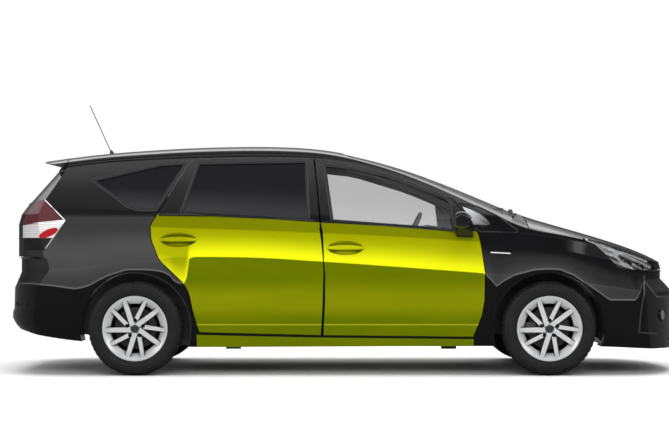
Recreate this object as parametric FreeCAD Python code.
import FreeCAD, Part

import math
import os

# A compact hybrid estate car used as a taxi cab, built as its real panels and running gear.
# Frame: +X forward, +Y to the car's left, +Z up; origin on the ground under the middle of its length.
# All sizes in millimetres.

V = FreeCAD.Vector

# Overall sizes
LENGTH = 4645.0
FRONT_OVERHANG = 955.0
WHEELBASE = 2780.0
TRACK = 1540.0
X_NOSE = LENGTH / 2
X_TAIL = -LENGTH / 2
X_FRONT = X_NOSE - FRONT_OVERHANG
X_REAR = X_FRONT - WHEELBASE

# Wheels and arches
TYRE_R = 316.0
TYRE_W = 205.0
RIM_R = 217.0
RIM_W = 190.0
HUB_BORE = 60.1
ARCH_R = 374.0
WELL_DEPTH_REAR = 255.0
WELL_DEPTH_FRONT = 395.0
HOUSE_WALL = 14.0
FLARE_W = 26.0
FLARE_STAND = 7.0
STEER_OFFSET = 48.0

# Walls, gaps and seats
SKIN_T = 28.0
DOOR_OUT_T = 40.0
DOOR_T = 100.0
FRAME_OUT_T = 18.0
FRAME_T = 44.0
LAP = 16.0
DOOR_LAP = 40.0
FRAME_LAP = 14.0
SHUT_GAP = 6.0
SEAT_CLEAR = 0.3
GLASS_T = 4.5
GLASS_IN = 6.0
FLOOR_Z = 305.0
FLOOR_BOTTOM_Z = 190.0
FIREWALL_X = 1020.0

# Lines of the body, each a height or half width against X
BOTTOM_Z = [(-2345, 300), (-2150, 285), (-1794, 228), (-990, 190), (935, 196), (1600, 195), (2100, 175), (2345, 165)]
SILL_Z = [(-2345, 400), (-1900, 380), (-990, 345), (935, 345), (1900, 345), (2345, 345)]
CREASE_Z = [(-2345, 690), (-1900, 720), (-1415, 770), (-1040, 793), (-639, 790), (-171, 768), (363, 732),
            (925, 690), (1373, 655), (1774, 600), (2345, 540)]
SHOULDER_Z = [(-2345, 1025), (-1857, 1017), (-1308, 997), (-171, 957), (738, 908), (1200, 872), (1567, 820),
              (1900, 735), (2150, 640), (2345, 575)]
BELT_Z = [(-2345, 1120), (-1800, 1112), (-1258, 1091), (-688, 1064), (-172, 1031), (365, 1001), (727, 980),
          (1000, 966), (1250, 948), (1450, 922), (1650, 882), (1850, 826), (2000, 768), (2150, 700), (2345, 610)]
CREASE_Y = [(-2345, 850), (-2000, 868), (-1415, 884), (-1040, 886), (-171, 884), (925, 885), (1373, 886),
            (1800, 872), (2100, 850), (2345, 825)]
BELT_Y = [(-2345, 770), (-1800, 800), (-1308, 814), (-171, 818), (727, 815), (1172, 802), (1450, 778), (1700, 748),
          (1950, 706), (2150, 660), (2345, 600)]
CANT_Z = [(-2345, 1345), (-2051, 1378), (-1705, 1428), (-1187, 1462), (-750, 1476), (-323, 1476), (23, 1444),
          (269, 1388), (479, 1316), (703, 1222), (900, 1128), (1080, 1044), (1200, 992), (1320, 962), (1450, 944),
          (1650, 904), (1850, 848), (2000, 790), (2150, 720), (2345, 622)]
TOP_Z = [(-2345, 1420), (-2051, 1471), (-1878, 1493), (-1705, 1514), (-1446, 1536), (-1187, 1553), (-928, 1565),
         (-611, 1569), (-323, 1562), (-150, 1545), (23, 1514), (196, 1476), (368, 1428), (541, 1370), (714, 1306),
         (887, 1236), (1060, 1164), (1200, 1106), (1290, 1072), (1405, 1037), (1578, 987), (1751, 936), (1924, 882),
         (2096, 818), (2200, 766), (2345, 672)]
ROUNDING = [(-2345, 2.5), (-200, 2.5), (300, 1.5), (1100, 1.15), (2345, 1.15)]
BOTTOM_TUCK = 70.0
SILL_TUCK = 40.0
HOLLOW_TUCK = 30.0
SHOULDER_TUCK = 50.0
BELT_STEP_Y = 8.0
BELT_STEP_Z = 5.0
TUMBLE = 0.40
SIDE_BULGE = 8.0
CROWN_N = 2.5
STATIONS = [-2345, -2150, -1900, -1650, -1400, -1100, -750, -400, -100, 150, 400, 650, 850, 1020, 1150, 1260, 1380,
            1560, 1740, 1900, 2060, 2200, 2345]

# Nose and tail seen from the side, at the middle of the car, and how far they sweep back at the corners
NOSE = [(2322, 100), (2322, 396), (2317, 528), (2307, 557), (2232, 640), (2236, 700), (2222, 748), (2150, 900)]
NOSE_SWEEP = 325.0
NOSE_SWEEP_N = 2.7
TAIL = [(-2240, 100), (-2262, 288), (-2300, 330), (-2322, 372), (-2322, 414), (-2312, 440), (-2308, 581),
        (-2262, 690), (-2262, 780), (-2281, 797), (-2281, 1018), (-2262, 1085), (-2190, 1180), (-2010, 1376),
        (-1975, 1430), (-1975, 1700)]
TAIL_SWEEP = 255.0
TAIL_SWEEP_N = 4.2
SWEEP_Y = 850.0
CORNER_Y = [-960, -880, -790, -680, -540, -360, -180, 0, 180, 360, 540, 680, 790, 880, 960]


def spline(nodes):
    """A smooth line through (x, value) nodes that never overshoots them."""
    xs = [float(n[0]) for n in nodes]
    ys = [float(n[1]) for n in nodes]
    d = [(ys[i + 1] - ys[i]) / (xs[i + 1] - xs[i]) for i in range(len(xs) - 1)]
    m = [d[0]]
    for i in range(1, len(d)):
        m.append(0.0 if d[i - 1] * d[i] <= 0 else 2 * d[i - 1] * d[i] / (d[i - 1] + d[i]))
    m.append(d[-1])

    def at(x):
        x = min(max(x, xs[0]), xs[-1])
        i = max(k for k in range(len(xs) - 1) if xs[k] <= x)
        h = xs[i + 1] - xs[i]
        t = (x - xs[i]) / h
        return ((2 * t ** 3 - 3 * t ** 2 + 1) * ys[i] + (t ** 3 - 2 * t ** 2 + t) * h * m[i]
                + (3 * t ** 2 - 2 * t ** 3) * ys[i + 1] + (t ** 3 - t ** 2) * h * m[i + 1])

    return at


bottom_z = spline(BOTTOM_Z)
sill_z = spline(SILL_Z)
crease_z = spline(CREASE_Z)
shoulder_z = spline(SHOULDER_Z)
belt_z = spline(BELT_Z)
crease_y = spline(CREASE_Y)
belt_y = spline(BELT_Y)
cant_z = spline(CANT_Z)
top_z = spline(TOP_Z)
rounding = spline(ROUNDING)


def curve(points):
    c = Part.BSplineCurve()
    n = len(points) - 1
    c.interpolate(Points=points, Parameters=[i / n for i in range(n + 1)])
    return c.toShape()


def section(x, low, up):
    """Closed outline of the whole car at X, drawn in by low under the belt and by up above it."""
    yc = crease_y(x) - low
    ledge = (low - up) * 0.9
    half = [
        V(x, yc - BOTTOM_TUCK, bottom_z(x) + low),
        V(x, yc - SILL_TUCK, sill_z(x)),
        V(x, yc, crease_z(x)),
        V(x, yc - SHOULDER_TUCK, shoulder_z(x)),
        V(x, belt_y(x) - up - ledge, belt_z(x) - low * 0.25),
        V(x, belt_y(x) - BELT_STEP_Y - up, belt_z(x) + BELT_STEP_Z - low * 0.1),
    ]
    slope = math.sqrt(1 + ((top_z(x + 15) - top_z(x - 15)) / 30.0) ** 2)
    zk = cant_z(x) - up * slope
    zk = max(zk, half[5].z + 10)
    yk = half[5].y - (zk - half[5].z) * TUMBLE
    zc = max(top_z(x) - up * slope, zk + 20)
    half.append(V(x, yk, zk))
    hollow = V(x, yc - HOLLOW_TUCK, crease_z(x) - 0.35 * (crease_z(x) - sill_z(x)))
    side = V(x, (half[5].y + yk) / 2 + SIDE_BULGE * min(1.0, (zk - half[5].z) / 200), (half[5].z + zk) / 2)
    crown = []
    for k in range(7):
        s = math.cos(math.radians(15 * k))
        rise = max(0.0, 1 - s ** CROWN_N) ** (1 / rounding(x))
        crown.append(V(x, yk * s, zk + (zc - zk) * rise))
    crown[-1] = V(x, 0, zc)

    def flip(p):
        return V(p.x, -p.y, p.z)

    left = [Part.makeLine(half[0], half[1]), curve([half[1], hollow, half[2]]), Part.makeLine(half[2], half[3]),
            Part.makeLine(half[3], half[4]), Part.makeLine(half[4], half[5]), curve([half[5], side, half[6]])]
    roof = curve(crown + [flip(p) for p in reversed(crown[:-1])])
    h = [flip(p) for p in half]
    right = [curve([h[6], flip(side), h[5]]), Part.makeLine(h[5], h[4]), Part.makeLine(h[4], h[3]),
             Part.makeLine(h[3], h[2]), curve([h[2], flip(hollow), h[1]]), Part.makeLine(h[1], h[0])]
    return Part.Wire(left + [roof] + right + [Part.makeLine(h[0], half[0])])


def corner_loft(profile, sweep, power, back, x_far):
    """Solid on the car's side of a nose or tail profile that sweeps back towards the corners."""
    wires = []
    for y in CORNER_Y:
        dx = sweep * (abs(y) / SWEEP_Y) ** power
        pts = [V(x + dx + back, y, z) for x, z in profile]
        pts = [V(x_far, y, profile[0][1])] + pts + [V(x_far, y, profile[-1][1])]
        wires.append(Part.makePolygon(pts + [pts[0]]))
    return Part.makeLoft(wires, True, False)


_cache = {}


def nose_keep(t):
    if ("n", t) not in _cache:
        _cache["n", t] = corner_loft(NOSE[:-1] + [(NOSE[-1][0], 1800)], -NOSE_SWEEP, NOSE_SWEEP_N, -t, -2600)
    return _cache["n", t]


def tail_keep(t):
    if ("t", t) not in _cache:
        _cache["t", t] = corner_loft(TAIL, TAIL_SWEEP, TAIL_SWEEP_N, t, 2600)
    return _cache["t", t]


def envelope(low, up, ends):
    """The whole car as one solid, drawn in by low, up and ends."""
    key = (low, up, ends)
    if key not in _cache:
        whole = Part.makeLoft([section(x, low, up) for x in STATIONS], True, False)
        _cache[key] = whole.common(nose_keep(ends)).common(tail_keep(ends))
    return _cache[key]


# Shut lines and windows seen from the side, as (x, z)
SPLIT = [(-163, 950), (-171, 1028), (-190, 1240), (-214, 1462)]
SPLIT_LOW = [(-158, 264), (-146, 480), (-143, 687), (-150, 800), (-158, 915), (-171, 1028)]
FRONT_DOOR_EDGE = [(861, 253), (885, 315), (918, 400), (935, 500), (936, 600), (932, 687), (922, 790), (912, 881),
                   (898, 962), (850, 1029)]
FRONT_FRAME_TOP = [(904, 940), (898, 962), (757, 1160), (735, 1190), (642, 1230), (479, 1292), (269, 1366),
                   (31, 1424), (-130, 1452)]
REAR_DOOR_EDGE = [(-1292, 1035), (-1314, 1000), (-1308, 915), (-1243, 772), (-1086, 615), (-1055, 560),
                  (-1028, 429), (-986, 285)]
REAR_FRAME_EDGE = [(-600, 1464), (-1020, 1450), (-1060, 1425), (-1256, 1088), (-1314, 1000), (-1311, 950)]
FRONT_PANE = [(-136, 1412), (31, 1394), (269, 1340), (479, 1262), (642, 1202), (695, 1172), (722, 985), (-84, 1046)]
REAR_PANE = [(-995, 1425), (-275, 1438), (-257, 1060), (-1095, 1105)]
QUARTER_PANE = [(-1700, 1311), (-1464, 1142), (-1389, 1121), (-1285, 1121), (-1095, 1425), (-1250, 1415)]
CORNER_PANE = [(788, 1128), (978, 1010), (918, 982)]
INNER_SPLIT_LOW = [(-158, 264), (-143, 687), (-174, 1080)]
INNER_SPLIT_UP = [(-164, 860), (-171, 1028), (-214, 1462)]
INNER_FRONT_LOW = [(861, 253), (935, 500), (932, 700), (880, 1080)]
INNER_FRONT_UP = [(960, 860), (745, 1185), (479, 1292), (31, 1424), (-130, 1452)]
INNER_REAR_LOW = [(-1280, 1080), (-1314, 1000), (-1300, 900), (-1086, 615), (-1028, 429), (-986, 285)]
INNER_REAR_UP = [(-600, 1464), (-1045, 1440), (-1256, 1088), (-1314, 1000), (-1300, 860)]
HEADLAMP = [(1607, 912), (1690, 880), (1740, 830), (1800, 760), (1817, 713), (2001, 693), (2120, 697), (2400, 700),
            (2400, 900), (1900, 960), (1607, 940)]
TAIL_LAMP = [(-2033, 1183), (-1882, 1041), (-2019, 841), (-2400, 841), (-2400, 1183)]
FRONT_SEAM = [(1588, 629), (1785, 726), (1817, 713), (2001, 693), (2120, 697), (2400, 700)]
BUMPER_TOP_Z = 789.0
REAR_SEAM = [(-1631, 678), (-1972, 806), (-2060, BUMPER_TOP_Z), (-2400, BUMPER_TOP_Z)]

# Plan outlines of the hood and windscreen, and the tailgate's size, as half widths
HOOD_REAR_X = 1240.0
HOOD_SIDE = [(1400, 757), (1500, 741), (1620, 702), (1750, 652), (1900, 606), (2050, 566), (2150, 540), (2400, 480)]
HOOD_CORNER_Y = 761.0
HOOD_GAP = 7.0
HOOD_LIP_Z = 706.0
LAMP_INNER_Y = 430.0
SCREEN = [(1212, 0), (1203, 300), (1172, 560), (1125, 716), (703, 664), (300, 612), (20, 588), (-20, 400), (-42, 0)]
GATE_TOP_X = -1899.0
GATE_BOTTOM_Z = 797.0
GATE_HALF_W = 640.0
GATE_T = 90.0
GATE_PANE = [(-585, 1168), (585, 1168), (545, 1385), (-545, 1385)]
LAMP_T = 60.0
WING_T = 36.0
SILL_FRONT_X = 862.0


CORNER_SHARE = 0.4
CORNER_TURN = math.radians(5)
CORNER_CUT = 3.0
CORNER_STEP = math.radians(14)
DOOR_EASE = 150.0
PANE_EASE = 20.0


def box(x0, x1, y0, y1, z0, z1):
    return Part.makeBox(x1 - x0, y1 - y0, z1 - z0, V(x0, y0, z0))


def mirrored(shape):
    return shape.mirror(V(0, 0, 0), V(0, 1, 0))


def inset(points, d):
    """The closed outline drawn in by d, or grown where d is negative."""
    n = len(points)
    area = sum(points[i][0] * points[(i + 1) % n][1] - points[(i + 1) % n][0] * points[i][1] for i in range(n))
    side = 1.0 if area > 0 else -1.0
    out = []
    for i in range(n):
        (ax, az), (bx, bz), (cx, cz) = points[i - 1], points[i], points[(i + 1) % n]
        la, lb = math.hypot(bx - ax, bz - az), math.hypot(cx - bx, cz - bz)
        n1 = (-(bz - az) / la * side, (bx - ax) / la * side)
        n2 = (-(cz - bz) / lb * side, (cx - bx) / lb * side)
        k = d / (1 + n1[0] * n2[0] + n1[1] * n2[1])
        out.append((bx + (n1[0] + n2[0]) * k, bz + (n1[1] + n2[1]) * k))
    return out


def eased(points, r, closed=False):
    """The outline with each corner turned into a short run of points, as on a curve of about radius r."""
    out = []
    for i, b in enumerate(points):
        a, c = points[i - 1], points[(i + 1) % len(points)]
        la, lc = math.hypot(b[0] - a[0], b[1] - a[1]), math.hypot(c[0] - b[0], c[1] - b[1])
        u, v = ((b[0] - a[0]) / la, (b[1] - a[1]) / la), ((c[0] - b[0]) / lc, (c[1] - b[1]) / lc)
        turn = abs(math.atan2(u[0] * v[1] - u[1] * v[0], u[0] * v[0] + u[1] * v[1]))
        cut = min(r * math.tan(turn / 2), CORNER_SHARE * la, CORNER_SHARE * lc)
        end = not closed and i in (0, len(points) - 1)
        if end or turn < CORNER_TURN or cut < CORNER_CUT:
            out.append(b)
            continue
        steps = max(2, round(turn / CORNER_STEP))
        for k in range(steps + 1):
            t = k / steps
            out.append(tuple(b[j] - u[j] * cut * (1 - t) ** 2 + v[j] * cut * t ** 2 for j in (0, 1)))
    return out


def slab(points, outside, inside, plane):
    """Prism through the left side, its two faces parallel to a side plane y = a - b * (z - c)."""
    a, b, c = plane
    wires = []
    for y in (outside, inside):
        pts = [V(x, a - b * (z - c) + y, z) for x, z in points]
        wires.append(Part.makePolygon(pts + [pts[0]]))
    return Part.makeLoft(wires, True, True)


def side_prism(points, y0=0.0, y1=1200.0):
    pts = [V(x, y0, z) for x, z in points]
    return Part.Face(Part.makePolygon(pts + [pts[0]])).extrude(V(0, y1 - y0, 0))


def plan_prism(points, z0, z1):
    pts = [V(x, y, z0) for x, y in points]
    return Part.Face(Part.makePolygon(pts + [pts[0]])).extrude(V(0, 0, z1 - z0))


def rear_prism(points, x0, x1):
    pts = [V(x0, y, z) for y, z in points]
    return Part.Face(Part.makePolygon(pts + [pts[0]])).extrude(V(x1 - x0, 0, 0))


def both_sides(half_plan):
    return half_plan + [(x, -y) for x, y in reversed(half_plan) if y > 0]


def cylinder_y(x, z, r, y0, y1):
    return Part.makeCylinder(r, y1 - y0, V(x, y0, z), V(0, 1, 0))


def loft(low, up):
    """The side and top surfaces as one long solid, without nose and tail."""
    if ("l", low, up) not in _cache:
        _cache["l", low, up] = Part.makeLoft([section(x, low, up) for x in STATIONS], True, False)
    return _cache["l", low, up]


LOW_PLANE = (888.0, 0.0, 250.0)
UP_PLANE = (820.0, TUMBLE, 1040.0)
JOIN_Z = 990.0
LOW_TAPER = 0.12
UP_TAPER = 0.32


def shift(points, dx):
    return [(x + dx, z) for x, z in points]


def door_outlines(front):
    """Lower and upper outline of a door's outer panel, closed, in the side view."""
    half = SHUT_GAP / 2
    if front:
        low = eased(FRONT_DOOR_EDGE, DOOR_EASE) + list(reversed(shift(SPLIT_LOW, half)))
        up = eased(FRONT_FRAME_TOP, DOOR_EASE) + list(reversed(shift(SPLIT, half)))
    else:
        low = shift(SPLIT_LOW, -half) + eased(REAR_DOOR_EDGE, DOOR_EASE)
        up = shift(SPLIT, -half) + eased(REAR_FRAME_EDGE, DOOR_EASE)
    return low, up


def inner_outlines(front):
    """The same for the inner panel before it is drawn in, with fewer points and more overlap at the belt."""
    half = SHUT_GAP / 2
    if front:
        low = INNER_FRONT_LOW + list(reversed(shift(INNER_SPLIT_LOW, half)))
        up = INNER_FRONT_UP + list(reversed(shift(INNER_SPLIT_UP, half)))
    else:
        low = shift(INNER_SPLIT_LOW, -half) + INNER_REAR_LOW
        up = shift(INNER_SPLIT_UP, -half) + INNER_REAR_UP
    return low, up


def tapered(outlines, draws, depths):
    """Lower and upper prisms into the side wall, drawn in and narrowing inwards, as one solid."""
    parts = []
    for pts, draw, depth, plane, taper in zip(outlines, draws, depths, (LOW_PLANE, UP_PLANE), (LOW_TAPER, UP_TAPER)):
        a, b, c = plane
        wires = []
        for y, d in ((40.0, draw - 40 * taper), (-depth, draw + depth * taper)):
            vs = [V(x, a - b * (z - c) + y, z) for x, z in inset(pts, d)]
            wires.append(Part.makePolygon(vs + [vs[0]]))
        parts.append(Part.makeLoft(wires, True, True))
    low, up = parts
    return low.common(box(-2000, 2000, 0, 1200, 0, JOIN_Z)).fuse(up.common(box(-2000, 2000, 0, 1200, JOIN_Z, 1800)))


def outer_cutter(front, grow):
    return tapered(door_outlines(front), (-grow, -grow), (90, 70))


def inner_cutter(front, grow):
    return tapered(inner_outlines(front), (DOOR_LAP - grow, FRAME_LAP - grow), (170, 100))


FRONT_HANDLE = (0.0, 856.0)
REAR_HANDLE = (-1122.0, 911.0)
CUP_SIZES = [(10.0, 133.0, 58.0), (-20.0, 96.0, 34.0)]
GRIP_SIZES = [(-124, 7, 6, -2), (-100, 12, 8, 5), (-50, 15, 9, 12), (0, 16, 9, 14), (50, 15, 9, 12), (100, 12, 8, 5),
              (124, 7, 6, -2)]


def oval(across, up, turn_axis, angle, at):
    """Closed ellipse wire turned from the ground plane and moved to its place."""
    ring = Part.Wire(Part.Ellipse(V(0, 0, 0), across, up).toShape())
    ring.rotate(V(0, 0, 0), turn_axis, angle)
    ring.translate(at)
    return ring


def handle(x, z):
    """The hollow behind a door handle and the grip across it, on the left side."""
    low, high = crease_z(x), shoulder_z(x)
    lean = math.degrees(math.atan2(SHOULDER_TUCK, high - low))
    cup = Part.makeLoft([oval(w, h, V(1, 0, 0), 90, V(0, y, 0)) for y, w, h in CUP_SIZES], True, True)
    grip = Part.makeLoft([oval(h, t, V(0, 1, 0), -90, V(dx, y, 0)) for dx, h, t, y in GRIP_SIZES], True, False)
    for shape in (cup, grip):
        shape.rotate(V(0, 0, 0), V(1, 0, 0), lean)
        shape.translate(V(x, crease_y(x) - SHOULDER_TUCK * (z - low) / (high - low), z))
    return cup, grip


def door(front):
    """A left door: outer panel and, lapped inside it, the smaller inner panel with the window frame."""
    outer = loft(0, 0).common(outer_cutter(front, 0)).cut(loft(DOOR_OUT_T, FRAME_OUT_T))
    inner = loft(LAP, LAP * 0.5).common(inner_cutter(front, 0))
    inner = inner.cut(loft(DOOR_T, FRAME_T))
    panel = outer.fuse(inner)
    pane = FRONT_PANE if front else REAR_PANE
    cup, grip = handle(*(FRONT_HANDLE if front else REAR_HANDLE))
    return panel.cut(slab(eased(pane, PANE_EASE, True), 60, -120, UP_PLANE)).cut(cup).fuse(grip)


def pane_solid(points):
    ring = slab(inset(eased(points, PANE_EASE, True), SEAT_CLEAR), 60, -120, UP_PLANE)
    return loft(GLASS_IN, GLASS_IN).common(ring).cut(loft(GLASS_IN + GLASS_T, GLASS_IN + GLASS_T))


def door_opening(front):
    g = SHUT_GAP
    return [outer_cutter(front, g).cut(loft(DOOR_OUT_T + g, FRAME_OUT_T + g)), inner_cutter(front, g)]


def wheel_well(x, depth):
    y_in = TRACK / 2 + TYRE_W / 2 - depth
    return cylinder_y(x, TYRE_R, ARCH_R, y_in, 1000)


def flare(x):
    ring = cylinder_y(x, TYRE_R, ARCH_R + FLARE_W, 600, 1000).cut(cylinder_y(x, TYRE_R, ARCH_R, 590, 1010))
    lip = loft(-FLARE_STAND, 0).common(ring).cut(loft(12, 12))
    return lip.common(box(x - 500, x + 500, 600, 1000, bottom_z(x) + 25, 900))


def hood_plan(grow):
    """Plan outline of the hood; its front is left to the nose."""
    return both_sides([(HOOD_REAR_X - grow, HOOD_CORNER_Y + grow)] + [(x, y + grow) for x, y in HOOD_SIDE])


def skin(t, region):
    return envelope(0, 0, 0).common(region).cut(envelope(t, t, t))


def hood():
    region = plan_prism(hood_plan(0), HOOD_LIP_Z, 1300)
    return skin(SKIN_T, region)


def lamp_region(points, inner_y, grow):
    pts = inset(points, -grow) if grow else points
    return side_prism(pts, inner_y - grow, 1000)


def headlamp():
    hood_zone = plan_prism(hood_plan(HOOD_GAP), 600, 1300)
    return skin(WING_T, lamp_region(HEADLAMP, LAMP_INNER_Y, 0)).cut(hood_zone)


def tail_lamp():
    return skin(LAMP_T, lamp_region(TAIL_LAMP, GATE_HALF_W + SHUT_GAP, 0))


def bumper_region(seam, x_mid):
    far = seam[-1][0]
    return seam + [(far, 60), (x_mid, 60), (x_mid, TYRE_R)]


def front_bumper():
    pts = bumper_region(inset_line(FRONT_SEAM), X_FRONT)
    region = side_prism(pts, -1000, 1000)
    solid = skin(WING_T, region)
    for s in (1, -1):
        well = wheel_well(X_FRONT, WELL_DEPTH_FRONT)
        solid = solid.cut(well if s > 0 else mirrored(well))
    return solid.cut(box(*SUBFRAME_BAY)).cut(intake_cutter())


def inset_line(points):
    return [(x, z - 2 * SEAT_CLEAR) for x, z in points]


INTAKE_Z = (222.0, 392.0)
INTAKE_HALF_W = 560.0
SLOT_Z = (618.0, 690.0)
SLOT_HALF_W = 400.0


def intake_cutter():
    low = rear_prism([(-INTAKE_HALF_W, INTAKE_Z[0]), (INTAKE_HALF_W, INTAKE_Z[0]),
                      (INTAKE_HALF_W - 60, INTAKE_Z[1]), (60 - INTAKE_HALF_W, INTAKE_Z[1])], 2000, 2400)
    high = rear_prism([(-SLOT_HALF_W, SLOT_Z[1]), (SLOT_HALF_W, SLOT_Z[1]), (SLOT_HALF_W - 60, SLOT_Z[0]),
                       (60 - SLOT_HALF_W, SLOT_Z[0])], 2000, 2400)
    return low.fuse(high)


def grille():
    """Slats of the lower intake and the upper slot, set back behind the bumper's face."""
    zone = box(2000, 2400, -600, 600, INTAKE_Z[0] - 10, SLOT_Z[1] + 10)
    band = envelope(14, 14, 14).common(zone).cut(envelope(30, 30, 30))
    bars = []
    for k in range(5):
        z = INTAKE_Z[0] + 17 + k * 34
        bars.append(box(2000, 2400, -600, 600, z - 5, z + 5))
    for y in (-300, 0, 300):
        bars.append(box(2000, 2400, y - 6, y + 6, INTAKE_Z[0], INTAKE_Z[1]))
    low = bars[0].multiFuse(bars[1:])
    high = box(2000, 2400, -5, 5, SLOT_Z[0], SLOT_Z[1])
    for k in range(2):
        z = SLOT_Z[0] + 24 + k * 24
        high = high.fuse(box(2000, 2400, -600, 600, z - 5, z + 5))
    openings = intake_cutter()
    return band.common(low.fuse(high)).common(openings)


def rear_bumper():
    pts = bumper_region(REAR_SEAM, X_REAR)
    solid = skin(WING_T, side_prism(pts, -1000, 1000))
    well = wheel_well(X_REAR, WELL_DEPTH_REAR)
    solid = solid.cut(box(-2180, X_REAR + 10, -620, 620, 60, 420))
    return solid.cut(well).cut(mirrored(well))


WING_REAR_X = 880.0
WING_OUTLINE = [(SILL_FRONT_X + SEAT_CLEAR, 150), (SILL_FRONT_X + SEAT_CLEAR, 300), (WING_REAR_X, 400),
                (WING_REAR_X, 966), (1175, 972), (1232, 1000), (1232, 1250), (1850, 1250), (1850, 725),
                (1817, 713), (1785, 726), (1588, 629), (X_FRONT, TYRE_R), (X_FRONT, 150)]


def wing():
    """A left front wing, from the door's edge to the bumper, under the hood's edge."""
    solid = skin(WING_T, side_prism(WING_OUTLINE, 300, 1000))
    solid = solid.cut(plan_prism(hood_plan(HOOD_GAP), 500, 1300))
    solid = solid.cut(outer_cutter(True, SHUT_GAP))
    solid = solid.cut(lamp_region(HEADLAMP, LAMP_INNER_Y, SEAT_CLEAR))
    solid = solid.cut(plan_prism(inset(cowl(), -SEAT_CLEAR), 900, 1300)).cut(box(*SUBFRAME_BAY))
    solid = solid.fuse(flare(X_FRONT).common(side_prism(WING_OUTLINE, 300, 1000)))
    return solid.cut(wheel_well(X_FRONT, WELL_DEPTH_FRONT))


CABIN_OUTLINE = [(960, FLOOR_Z), (960, 900), (1000, 985), (1236, 1040), (1236, 1700), (-2400, 1700), (-2400, 560),
                 (-1150, 560), (-1080, FLOOR_Z)]
UNDER_OUTLINE = [(1000, 60), (1000, 262), (-1060, 262), (-1130, 520), (-2160, 520), (-2160, 60)]
BAY_HALF_W = 440.0
STOP_DEEP = 44.0
COWL_HALF_W = 730.0
SILL_OUTLINE = [(-1000, 100), (-1000, 276), (-971, 272), (-172, 254), (SILL_FRONT_X, 244), (SILL_FRONT_X, 100)]
SILL_INNER_Y = 745.0
FRONT_ZONE = [(SILL_FRONT_X, 60), (SILL_FRONT_X, 300), (WING_REAR_X - SEAT_CLEAR, 400),
              (WING_REAR_X - SEAT_CLEAR, 966), (1175, 972), (1232, 1000), (1232, 1300), (2500, 1300), (2500, 60)]


def cowl():
    """Plan outline of the panel between the windscreen and the hood."""
    edge = [(x + SEAT_CLEAR, y) for x, y in SCREEN[:4]]
    front = HOOD_REAR_X - HOOD_GAP
    pts = [(front, -COWL_HALF_W), (front, COWL_HALF_W), (1140, COWL_HALF_W)] + list(reversed(edge))
    return pts + [(x, -y) for x, y in edge[1:]] + [(1140, -COWL_HALF_W)]


def windscreen_plan(grow):
    pts = both_sides(SCREEN)
    pts = [p for i, p in enumerate(pts) if p not in pts[:i]]
    return inset(pts, -grow) if grow else pts


def sill():
    solid = envelope(0, 0, 0).common(side_prism(SILL_OUTLINE, SILL_INNER_Y, 1000))
    return solid.cut(loft(SKIN_T, SKIN_T))


def hood_stops():
    """Rubber stops that the closed hood rests on."""
    gap = loft(SKIN_T + SEAT_CLEAR, SKIN_T + SEAT_CLEAR).cut(loft(STOP_DEEP, STOP_DEEP))
    stops = [Part.makeCylinder(14, 700, V(x, s * y, 600)) for x, y in ((1310, 640), (1960, 480)) for s in (1, -1)]
    return gap.common(stops[0].multiFuse(stops[1:]))


def tailgate_stops():
    """Rubber stops under the tailgate's lower edge."""
    blocks = []
    for s in (1, -1):
        y = s * 480
        blocks.append(box(-2215, -2195, y - 20, y + 20, BUMPER_TOP_Z + 1, GATE_BOTTOM_Z - SEAT_CLEAR))
    return blocks[0].fuse(blocks[1])


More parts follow.
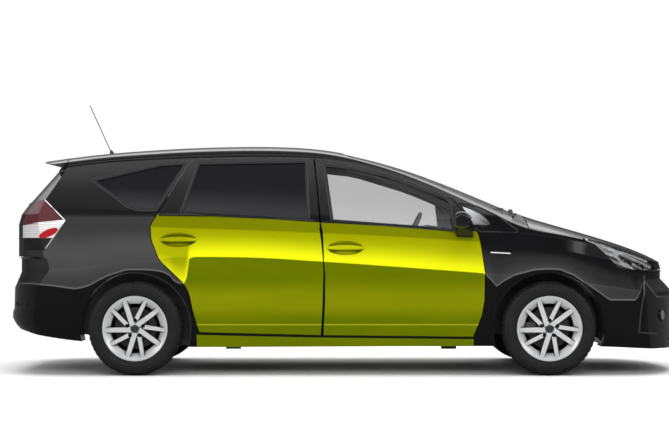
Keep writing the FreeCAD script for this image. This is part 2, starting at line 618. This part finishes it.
def body_shell():
    shell = envelope(0, 0, 0)
    cabin = envelope(DOOR_T, FRAME_T, GATE_T).common(side_prism(CABIN_OUTLINE, -1000, 1000))
    for x, depth in ((X_REAR, WELL_DEPTH_REAR),):
        house = cylinder_y(x, TYRE_R, ARCH_R + HOUSE_WALL, TRACK / 2 + TYRE_W / 2 - depth - HOUSE_WALL, 1000)
        cabin = cabin.cut(house).cut(mirrored(house))
    shell = shell.cut(cabin)
    front = side_prism(FRONT_ZONE, -1000, 1000).cut(envelope(WING_T + SEAT_CLEAR, WING_T + SEAT_CLEAR,
                                                             WING_T + SEAT_CLEAR))
    rear = side_prism(bumper_region(REAR_SEAM, X_REAR), -1000, 1000)
    rear = rear.cut(envelope(WING_T + SEAT_CLEAR, WING_T + SEAT_CLEAR, WING_T + SEAT_CLEAR))
    shell = shell.cut(front).cut(rear)
    shell = shell.cut(box(990, 2400, -BAY_HALF_W, BAY_HALF_W, 60, 930))
    shell = shell.cut(side_prism(UNDER_OUTLINE, -560, 560))
    shell = shell.cut(box(990, 1760, -600, 600, 60, UNDER_Z))
    shell = shell.cut(cylinder_y(X_FRONT, TYRE_R, SHAFT_HOLE_R, -600, 600))
    shell = shell.cut(box(X_REAR - 110, X_REAR + 110, -700, 700, 60, 440))
    shell = shell.cut(box(GATE_TOP_X - 700, GATE_TOP_X + SHUT_GAP, -GATE_HALF_W - SHUT_GAP,
                          GATE_HALF_W + SHUT_GAP, GATE_BOTTOM_Z - SHUT_GAP, 1700))
    shell = shell.cut(plan_prism(windscreen_plan(0), 960, 1700))
    shell = shell.cut(plan_prism(inset(cowl(), -SEAT_CLEAR), 940, 1300).cut(
        loft(SKIN_T + SEAT_CLEAR, SKIN_T + SEAT_CLEAR)))
    lamp_cut = lamp_region(TAIL_LAMP, GATE_HALF_W, SEAT_CLEAR).cut(
        envelope(LAMP_T + SEAT_CLEAR, LAMP_T + SEAT_CLEAR, LAMP_T + SEAT_CLEAR))
    sill_cut = side_prism(inset(SILL_OUTLINE, -SEAT_CLEAR), SILL_INNER_Y - SEAT_CLEAR, 1000).cut(
        loft(SKIN_T + SEAT_CLEAR, SKIN_T + SEAT_CLEAR))
    side = door_opening(True) + door_opening(False) + [wheel_well(X_REAR, WELL_DEPTH_REAR),
            wheel_well(X_FRONT, WELL_DEPTH_FRONT), slab(eased(QUARTER_PANE, PANE_EASE, True), 60, -120, UP_PLANE),
            slab(eased(CORNER_PANE, PANE_EASE, True), 60, -120, UP_PLANE), lamp_cut, sill_cut]
    for cutter in side:
        shell = shell.cut(cutter).cut(mirrored(cutter))
    lip = flare(X_REAR).cut(outer_cutter(False, SHUT_GAP))
    lip = lip.cut(side_prism(bumper_region(REAR_SEAM, X_REAR), 0, 1000))
    shell = max(shell.Solids, key=lambda solid: solid.Volume)
    shell = shell.fuse(hood_stops()).fuse(tailgate_stops())
    return shell.fuse(lip).fuse(mirrored(lip)).fuse(jacking_pads())


# Running gear, each size apart from the wheel's own
MOUNT_FACE_Y = 40.0
PAD_R = 78.0
PAD_T = 18.0
BORE_DEPTH = 22.0
HUB_CAP_R = 40.0
HUB_CAP_Y = 76.0
LUG_SEAT = 8.0
LUG_PCD = 114.3
LUG_HOLE_R = 7.5
LUG_SINK_R = 13.0
LUGS = 5
HUB_CLEAR = 0.25
DISC_R = 140.0
DISC_T = 20.0
DISC_Y = 8.0
POST_R = 16.0
PIN_R = 9.0
PIN_CLEAR = 0.3
ARM_Z = 125.0
BOSS_R = 24.0
BOSS_T = 22.0
LOWER_ARM_R = 9.0
SPOKE_OUT_R = 200.0
SPOKES = [((26, 34), (SPOKE_OUT_R, 51), 17, 15), ((60, 7), (SPOKE_OUT_R, 21), 14, 12)]
SPOKE_Y = (48.0, 80.0)


def revolved(points, axis_x=0.0):
    """Ring about the Y axis from (radius, y) points."""
    pts = [V(r, y, 0) for r, y in points]
    face = Part.Face(Part.makePolygon(pts + [pts[0]]))
    return face.revolve(V(0, 0, 0), V(0, 1, 0), 360)


def tyre():
    """Closed ring with the tyre's real section; its beads sit inside the rim's flanges."""
    half = TYRE_W / 2
    side = [(RIM_R - 12.4, 81), (RIM_R + 4, 82.5), (RIM_R + 12, 93), (RIM_R + 28, half - 2), (RIM_R + 46, half),
            (TYRE_R - 32, half - 2), (TYRE_R - 13, half - 12), (TYRE_R - 4, half - 22), (TYRE_R - 1, half - 36)]
    return revolved([(TYRE_R, 0)] + [(r, -y) for r, y in reversed(side)] + side)


def rim():
    """Cast wheel with its outer face towards +Y: barrel, pad with lug holes, and ten spokes in five slanted pairs."""
    outer = [(219, -89), (219, -84), (204, -81), (204, -60), (192, -44), (192, 18), (204, 38), (204, 81), (219, 84),
             (219, 90), (211, 90), (205, 86), (168, 54), (166, 44), (184, 20), (184, -42), (197, -62), (197, -89)]
    wheel = revolved([(r - 219 + RIM_R + 2, y) for r, y in outer])
    pad = cylinder_y(0, 0, PAD_R, MOUNT_FACE_Y, MOUNT_FACE_Y + PAD_T)
    wheel = wheel.fuse(pad).fuse(cylinder_y(0, 0, HUB_CAP_R, MOUNT_FACE_Y + 1, HUB_CAP_Y))
    for k in range(LUGS):
        for (r0, a0), (r1, a1), w0, w1 in SPOKES:
            turn = 360.0 / LUGS * k
            p0, p1 = math.radians(a0 + turn), math.radians(a1 + turn)
            s0, s1 = V(r0 * math.sin(p0), 0, r0 * math.cos(p0)), V(r1 * math.sin(p1), 0, r1 * math.cos(p1))
            along = (s1 - s0).normalize()
            across = V(along.z, 0, -along.x)
            pts = [s0 + across * w0, s1 + across * w1, s1 - across * w1, s0 - across * w0]
            pts = [V(q.x, SPOKE_Y[0], q.z) for q in pts]
            spoke = Part.Face(Part.makePolygon(pts + [pts[0]])).extrude(V(0, SPOKE_Y[1] - SPOKE_Y[0], 0))
            wheel = wheel.fuse(spoke)
    bell = cylinder_y(0, 0, PAD_R, DISC_Y, MOUNT_FACE_Y + 1).cut(cylinder_y(0, 0, PAD_R - 5, 0, MOUNT_FACE_Y))
    disc = cylinder_y(0, 0, DISC_R, DISC_Y, DISC_Y + DISC_T).cut(cylinder_y(0, 0, PAD_R - 5, 0, MOUNT_FACE_Y))
    wheel = wheel.fuse(bell).fuse(disc)
    wheel = wheel.cut(cylinder_y(0, 0, HUB_BORE / 2, 0, MOUNT_FACE_Y + BORE_DEPTH))
    for k in range(LUGS):
        a = 2 * math.pi / LUGS * k
        x, z = LUG_PCD / 2 * math.sin(a), LUG_PCD / 2 * math.cos(a)
        wheel = wheel.cut(cylinder_y(x, z, LUG_HOLE_R, 0, 200))
        wheel = wheel.cut(cylinder_y(x, z, LUG_SINK_R, MOUNT_FACE_Y + LUG_SEAT, 200))
    return wheel


def hub_stub():
    """Flange and spigot that the wheel sits on."""
    flange = cylinder_y(0, 0, PAD_R - 12, MOUNT_FACE_Y - 14, MOUNT_FACE_Y - SEAT_CLEAR)
    return flange.fuse(cylinder_y(0, 0, HUB_BORE / 2 - HUB_CLEAR, -60, MOUNT_FACE_Y + BORE_DEPTH - 2))


def knuckle():
    """Left front knuckle about the wheel's centre, with its king post, steering arm and brake caliper."""
    solid = hub_stub().fuse(cylinder_y(0, 0, 45, -80, 3))
    post = Part.makeCylinder(POST_R, 2 * (ARM_Z - BOSS_T), V(0, -STEER_OFFSET, -(ARM_Z - BOSS_T)))
    pins = Part.makeCylinder(PIN_R, 2 * ARM_Z, V(0, -STEER_OFFSET, -ARM_Z))
    solid = solid.fuse(post).fuse(pins)
    solid = solid.fuse(box(-120, 0, -STEER_OFFSET - 14, -STEER_OFFSET + 6, -20, 10))
    caliper = box(-156, -88, DISC_Y - 34, DISC_Y + DISC_T + 10, -40, 40)
    slot = cylinder_y(0, 0, DISC_R + 6, DISC_Y - 6, DISC_Y + DISC_T + 6)
    bridge = box(-105, -30, DISC_Y - 34, DISC_Y - 12, -25, 25)
    return solid.fuse(caliper.cut(slot)).fuse(bridge)


def bar(a, b, r):
    d = b - a
    return Part.makeCylinder(r, d.Length, a, d)


def front_subframe():
    """Cross member with towers up to the body, engine pads and both lower arms."""
    cross = box(X_FRONT - 170, X_FRONT + 170, -400, 400, 195, 240)
    for x in (X_FRONT - 150, X_FRONT + 110):
        for y in (-470, 400):
            cross = cross.fuse(box(x, x + 40, y, y + 70, 195, UNDER_Z - SEAT_CLEAR))
        cross = cross.fuse(box(x, x + 40, -150, 150, 235, ENGINE_Z[0] - SEAT_CLEAR))
    for s in (1, -1):
        y = s * (TRACK / 2 - STEER_OFFSET)
        z = TYRE_R - ARM_Z
        boss = Part.makeCylinder(BOSS_R, BOSS_T - 5, V(X_FRONT, y, z))
        bore = Part.makeCylinder(PIN_R + PIN_CLEAR, 60, V(X_FRONT, y, z - 20))
        arm = bar(V(X_FRONT, y, z + 9), V(X_FRONT - 130, s * 390, 215), LOWER_ARM_R)
        arm = arm.fuse(bar(V(X_FRONT, y, z + 9), V(X_FRONT + 130, s * 390, 215), LOWER_ARM_R))
        cross = cross.fuse(boss.fuse(arm).cut(bore))
    return cross


def upper_arm():
    y, z = TRACK / 2 - STEER_OFFSET, TYRE_R + ARM_Z - BOSS_T + 5
    wall = TRACK / 2 + TYRE_W / 2 - WELL_DEPTH_FRONT + SEAT_CLEAR
    boss = Part.makeCylinder(BOSS_R, BOSS_T - 5, V(X_FRONT, y, z))
    bore = Part.makeCylinder(PIN_R + PIN_CLEAR, 60, V(X_FRONT, y, z - 20))
    solid = boss
    for dx in (-90, 90):
        foot = box(X_FRONT + dx - 25, X_FRONT + dx + 25, wall, wall + 20, z - 16, z + 34)
        solid = solid.fuse(foot).fuse(bar(V(X_FRONT, y, z + 9), V(X_FRONT + dx, wall + 5, z + 9), 10))
    return solid.cut(bore)


UNDER_Z = 262.0
BOOT_UNDER_Z = 520.0
ENGINE_Z = (275.0, 800.0)
ENGINE_X = (1130.0, 1620.0)
ENGINE_HALF_W = 320.0
AXLE_R = 35.0
DAMPER_Y = 500.0
TRAIL_X = -1000.0
TANK = (-950.0, -450.0, -430.0, 160.0, 165.0)
PIPE_Y = 250.0
PIPE_R = 27.0
SHAFT_HOLE_R = 48.0
SUBFRAME_BAY = (990.0, 1760.0, -620.0, 620.0, 60.0, UNDER_Z)


def engine():
    block = box(ENGINE_X[0], ENGINE_X[1], -ENGINE_HALF_W, ENGINE_HALF_W, ENGINE_Z[0], ENGINE_Z[1])
    return block.makeFillet(30, block.Edges)


def drive_shaft():
    y0, y1 = ENGINE_HALF_W + SEAT_CLEAR, TRACK / 2 - 140
    shaft = cylinder_y(X_FRONT, TYRE_R, 13, y0, y1)
    return shaft.fuse(cylinder_y(X_FRONT, TYRE_R, 38, y0, y0 + 70)).fuse(cylinder_y(X_FRONT, TYRE_R, 30, y1 - 50, y1))


def rear_axle():
    end = TRACK / 2 - 60
    solid = cylinder_y(X_REAR, TYRE_R, AXLE_R, -end, end)
    for s in (1, -1):
        hub = hub_stub()
        hub.translate(V(X_REAR, TRACK / 2, TYRE_R))
        solid = solid.fuse(hub if s > 0 else mirrored(hub))
        top = BOOT_UNDER_Z - SEAT_CLEAR
        solid = solid.fuse(Part.makeCylinder(24, top - TYRE_R, V(X_REAR, s * DAMPER_Y, TYRE_R)))
        bush_z = UNDER_Z - SEAT_CLEAR - 32
        solid = solid.fuse(bar(V(X_REAR, s * DAMPER_Y, TYRE_R), V(TRAIL_X, s * DAMPER_Y, bush_z), 16))
        solid = solid.fuse(cylinder_y(TRAIL_X, bush_z, 32, s * DAMPER_Y - 35, s * DAMPER_Y + 35))
    return solid


def exhaust():
    """Pipe with a centre silencer and, behind the axle, the rear silencer hung from the floor."""
    route = [V(ENGINE_X[0] - SEAT_CLEAR, PIPE_Y, 330), V(1085, PIPE_Y, 330), V(1030, PIPE_Y, 232), V(-1120, PIPE_Y, 232),
             V(-1230, PIPE_Y, 425), V(-1600, PIPE_Y, 425), V(-1760, PIPE_Y, 330), V(-1900, PIPE_Y, 310)]
    solid = bar(route[0], route[1], PIPE_R)
    for a, b in zip(route[1:-1], route[2:]):
        solid = solid.fuse(Part.makeSphere(PIPE_R, a)).fuse(bar(a, b, PIPE_R))
    middle = box(-200, 260, PIPE_Y - 85, PIPE_Y + 85, 178, UNDER_Z - SEAT_CLEAR)
    rear = box(-2110, -1850, -60, PIPE_Y + 110, 250, 380)
    solid = solid.fuse(middle.makeFillet(35, middle.Edges)).fuse(rear.makeFillet(45, rear.Edges))
    for x in (-2060, -1920):
        solid = solid.fuse(box(x, x + 20, 60, 100, 300, BOOT_UNDER_Z - SEAT_CLEAR))
    tip = bar(V(-2080, PIPE_Y, 290), V(-2190, PIPE_Y, 250), PIPE_R - 4)
    bore = bar(V(-2120, PIPE_Y, 275.5), V(-2210, PIPE_Y, 242.7), PIPE_R - 8)
    return solid.fuse(tip).cut(bore)


def fuel_tank():
    x0, x1, y0, y1, z0 = TANK
    block = box(x0, x1, y0, y1, z0, UNDER_Z - SEAT_CLEAR)
    return block.makeFillet(28, block.Edges)


# Cabin furniture
DRIVER_Y = 370.0
CONSOLE_HALF_W = 110.0
WHEEL_CENTRE = V(486, DRIVER_Y, 940)
COLUMN_TILT = 25.0
DASH_OUTLINE = [(959.7, 420), (959.7, 900), (985, 975), (800, 1006), (640, 985), (602, 930), (622, 820), (700, 700),
                (770, 430)]
SEAT_HALF_W = 245.0
SEAT_SHAPE = [(-95, 440), (430, 430), (445, 540), (415, 575), (200, 560), (-30, 562), (-122, 1090), (-150, 1180),
              (-225, 1190), (-245, 1150), (-205, 880), (-150, 520)]
BENCH_SHAPE = [(-470, 305.3), (-460, 520), (-500, 550), (-880, 540), (-985, 1100), (-1020, 1130), (-1080, 1120),
               (-1072, 1080), (-1012, 720), (-1005, 305.3)]
BENCH_HALF_W = 635.0


def column_axis():
    a = math.radians(COLUMN_TILT)
    return V(math.cos(a), 0, -math.sin(a))


def dashboard():
    inside = envelope(DOOR_T + 10, FRAME_T + 10, GATE_T)
    solid = inside.common(side_prism(DASH_OUTLINE, -1000, 1000))
    solid = solid.fuse(box(240, 930, -CONSOLE_HALF_W, CONSOLE_HALF_W, FLOOR_Z + SEAT_CLEAR, 620))
    start = WHEEL_CENTRE + column_axis() * 62
    column = bar(start, start + column_axis() * 260, 34)
    bore = bar(WHEEL_CENTRE, start + column_axis() * 50, 12 + PIN_CLEAR)
    return solid.fuse(column).cut(bore)


def steering_wheel():
    ax = column_axis()
    ring = Part.makeTorus(178, 14, WHEEL_CENTRE, ax)
    hub = Part.makeCylinder(52, 45, WHEEL_CENTRE, ax)
    shaft = Part.makeCylinder(12, 105, WHEEL_CENTRE, ax)
    up = V(math.sin(math.radians(COLUMN_TILT)), 0, math.cos(math.radians(COLUMN_TILT)))
    solid = ring.fuse(hub).fuse(shaft)
    for d in (V(0, 1, 0), V(0, -1, 0), up * -1):
        solid = solid.fuse(bar(WHEEL_CENTRE + ax * 18, WHEEL_CENTRE + d * 176, 11))
    return solid


def front_seat():
    shape = side_prism(SEAT_SHAPE, DRIVER_Y - SEAT_HALF_W, DRIVER_Y + SEAT_HALF_W)
    shape = shape.fuse(box(-40, 350, DRIVER_Y - 190, DRIVER_Y + 190, FLOOR_Z + SEAT_CLEAR, 460))
    head = side_prism([(-150, 1215), (-235, 1222), (-245, 1335), (-215, 1360), (-165, 1350), (-140, 1320)],
                      DRIVER_Y - 130, DRIVER_Y + 130)
    for y in (-60, 60):
        shape = shape.fuse(bar(V(-195, DRIVER_Y + y, 1150), V(-195, DRIVER_Y + y, 1260), 7))
    return shape.fuse(head)


def rear_bench():
    shape = side_prism(BENCH_SHAPE, -BENCH_HALF_W, BENCH_HALF_W)
    for y in (-420, 0, 420):
        head = side_prism([(-1000, 1150), (-1075, 1150), (-1085, 1270), (-1030, 1285), (-1005, 1260)], y - 120, y + 120)
        shape = shape.fuse(head)
        for dy in (-50, 50):
            shape = shape.fuse(bar(V(-1040, y + dy, 1100), V(-1040, y + dy, 1200), 7))
    return shape


# Mirrors, rear door of the boot and roof pieces
MIRROR_AT = (771.0, 1043.0)
MIRROR_SIZES = [(858, 58, 26), (872, 63, 44), (905, 67, 54), (950, 68, 58), (988, 64, 53), (1008, 54, 43),
                (1016, 40, 30)]
MIRROR_FACE_X = 728.0
SPOILER = [(GATE_TOP_X, 1600), (-2062, 1600), (-2066, 1438), (-1985, 1428), (GATE_TOP_X, 1440)]


def mirror():
    mx, mz = MIRROR_AT
    head = Part.makeLoft([oval(w, h, V(1, 0, 0), 90, V(mx, y, mz)) for y, w, h in MIRROR_SIZES], True, False)
    head = head.cut(box(mx - 200, MIRROR_FACE_X, 800, 1100, 900, 1200))
    low = [V(742, 790, 905), V(880, 790, 895), V(868, 790, 965), V(738, 790, 975)]
    high = [V(752, 905, 985), V(812, 905, 985), V(806, 905, 1012), V(748, 905, 1012)]
    foot = Part.makeLoft([Part.makePolygon(w + [w[0]]) for w in (low, high)], True, True)
    return head.fuse(foot).cut(loft(-SEAT_CLEAR, -SEAT_CLEAR))


def tailgate_parts():
    opening = box(-2500, GATE_TOP_X, -GATE_HALF_W, GATE_HALF_W, GATE_BOTTOM_Z, 1700)
    panel = envelope(0, 0, 0).common(opening).cut(envelope(DOOR_T, FRAME_T, GATE_T))
    spoiler_zone = side_prism(SPOILER, -GATE_HALF_W, GATE_HALF_W)
    spoiler = loft(0, 0).common(spoiler_zone)
    panel = panel.cut(side_prism(inset(SPOILER, -SEAT_CLEAR), -GATE_HALF_W - 1, GATE_HALF_W + 1))
    panel = panel.cut(rear_prism(GATE_PANE, -2500, -1700))
    ring = rear_prism(inset(GATE_PANE, SEAT_CLEAR), -2500, -1700)
    pane = envelope(GLASS_IN, GLASS_IN, GLASS_IN).common(ring)
    pane = pane.cut(envelope(GLASS_IN + GLASS_T, GLASS_IN + GLASS_T, GLASS_IN + GLASS_T))
    return panel, pane, spoiler


def windscreen():
    ring = plan_prism(windscreen_plan(-SEAT_CLEAR), 960, 1700)
    return loft(GLASS_IN, GLASS_IN).common(ring).cut(loft(GLASS_IN + GLASS_T, GLASS_IN + GLASS_T))


def cowl_panel():
    region = plan_prism(cowl(), 940, 1300)
    return loft(0, 0).common(region).cut(loft(SKIN_T, SKIN_T))


def antenna():
    z = top_z(-1672) - 6
    base = Part.makeCone(26, 7, 46, V(-1672, 0, z), V(-0.25, 0, 1))
    return base.fuse(bar(V(-1680, 0, z + 25), V(-1835, 0, 1878), 3)).cut(loft(-SEAT_CLEAR, -SEAT_CLEAR))


def jacking_pads():
    pads = []
    for x in (-760, 700):
        for s in (1, -1):
            pads.append(box(x - 50, x + 50, s * 700 - 30, s * 700 + 30, 172, 230))
    return pads[0].multiFuse(pads[1:])


def placed(shape, x, y, z, right):
    part = shape.copy()
    part.translate(V(x, y, z))
    return mirrored(part) if right else part


def write_all(put):
    compound = Part.makeCompound
    for name, front, pane in (("front_door", True, FRONT_PANE), ("rear_door", False, REAR_PANE)):
        panel, glass = door(front), pane_solid(pane)
        put(name + "_left", panel)
        put(name + "_right", mirrored(panel))
        put(name + "_glass_left", glass)
        put(name + "_glass_right", mirrored(glass))
    for name, shape in (("front_wing", wing()), ("mirror", mirror())):
        put(name + "_left", shape)
        put(name + "_right", mirrored(shape))
    for name, shape in (("headlamps", headlamp()), ("tail_lamps", tail_lamp()), ("sill_panels", sill()),
                        ("front_seats", front_seat()), ("drive_shafts", drive_shaft())):
        put(name, compound([shape, mirrored(shape)]))
    panes = [pane_solid(QUARTER_PANE), pane_solid(CORNER_PANE)]
    put("fixed_side_glass", compound(panes + [mirrored(q) for q in panes]))
    arms = upper_arm()
    put("front_suspension", compound([front_subframe(), arms, mirrored(arms)]))
    panel, pane, spoiler = tailgate_parts()
    put("tailgate", panel)
    put("tailgate_glass", pane)
    put("spoiler", spoiler)
    for name, make in (("hood", hood), ("front_bumper", front_bumper), ("rear_bumper", rear_bumper),
                       ("grille", grille), ("windscreen", windscreen), ("cowl_panel", cowl_panel),
                       ("dashboard", dashboard), ("steering_wheel", steering_wheel), ("rear_bench", rear_bench),
                       ("engine_block", engine), ("exhaust", exhaust), ("fuel_tank", fuel_tank),
                       ("rear_axle", rear_axle), ("antenna", antenna), ("body_shell", body_shell)):
        put(name, make())
    tyre_shape, rim_shape, knuckle_shape = tyre(), rim(), knuckle()
    for x, end in ((X_FRONT, "front"), (X_REAR, "rear")):
        for right, side in ((False, "left"), (True, "right")):
            put("tyre_%s_%s" % (end, side), placed(tyre_shape, x, TRACK / 2, TYRE_R, right))
            put("rim_%s_%s" % (end, side), placed(rim_shape, x, TRACK / 2, TYRE_R, right))
    for right, side in ((False, "left"), (True, "right")):
        put("knuckle_" + side, placed(knuckle_shape, X_FRONT, TRACK / 2, TYRE_R, right))


if __name__ == "__main__":
    import time
    os.makedirs("parts", exist_ok=True)
    t0 = time.time()

    def put(name, shape):
        print("%-24s valid %s solids %d vol %.1f l faces %d  t %.1f" % (
            name, shape.isValid(), len(shape.Solids), shape.Volume / 1e6, len(shape.Faces), time.time() - t0),
            flush=True)
        shape.exportStep("parts/%s.step" % name)

    write_all(put)
